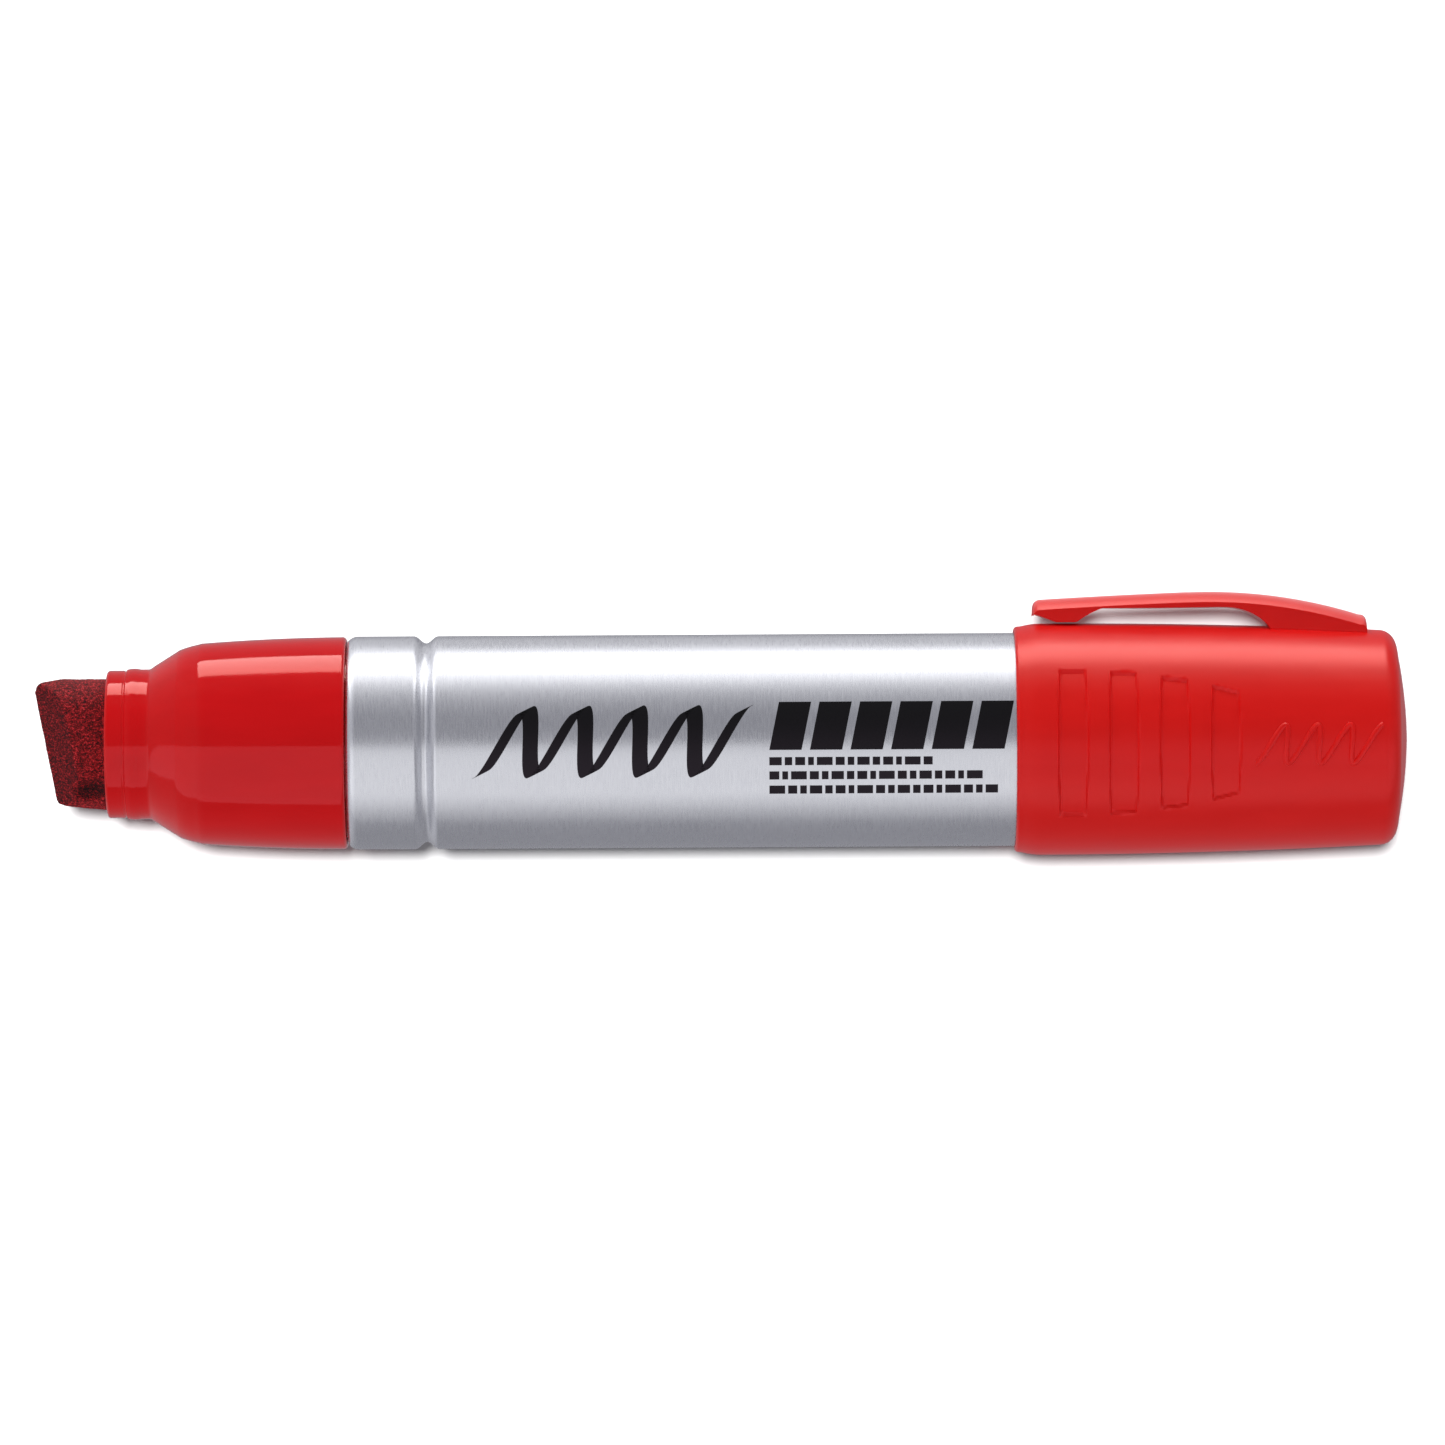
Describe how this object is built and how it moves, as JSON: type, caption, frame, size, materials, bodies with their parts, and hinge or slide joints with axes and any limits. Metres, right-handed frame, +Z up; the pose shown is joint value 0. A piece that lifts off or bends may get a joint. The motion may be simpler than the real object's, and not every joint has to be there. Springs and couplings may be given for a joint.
{
  "type": "felt tip marker",
  "caption": "Jumbo felt tip marker: slanted chisel nib in a stepped plastic nose, aluminium can barrel, and a clip cap posted on the back.",
  "frame": {"origin": "on the barrel's axis, at the middle of its plain grip wall between the rolled bead and the posted cap", "axes": "+X along the marker from nib to cap end, +Y towards the clip, +Z up from the surface the marker lies on"},
  "size_m": [0.1672, 0.032, 0.0282],
  "materials": {
    "brushed_can": "fine satin brushed round the can",
    "red_plastic": "moulded polypropylene, soft gloss",
    "inked_felt": "pressed felt soaked with ink",
    "ink_filler": "bonded fibre soaked with ink",
    "clear_film": "thin clear film",
    "pale_plastic": "soft natural polyethylene"
  },
  "bodies": {
    "marker": {"barrel": "brushed_can", "nose": "red_plastic", "nib": "inked_felt", "filler": "ink_filler", "filler_film": "clear_film"},
    "cap_core": {"inner_cap": "pale_plastic"},
    "cap": {"cap": "red_plastic"},
    "clip": {"clip": "red_plastic"}
  },
  "joints": [
    {"name": "cap_slide", "type": "slide", "parent": "marker", "child": "cap_core", "axis": [1, 0, 0], "range_m": [0, 0.06]},
    {"name": "cap_turn", "type": "hinge", "parent": "cap_core", "child": "cap", "pos_m": [0.0695, 0, 0], "axis": [1, 0, 0], "continuous": true},
    {"name": "clip_flex", "type": "hinge", "parent": "cap", "child": "clip", "pos_m": [0.0657, 0.017, 0], "axis": [0, 0, -1], "range_deg": [0, 4], "stiffness_Nm_per_rad": 0.5}
  ]
}
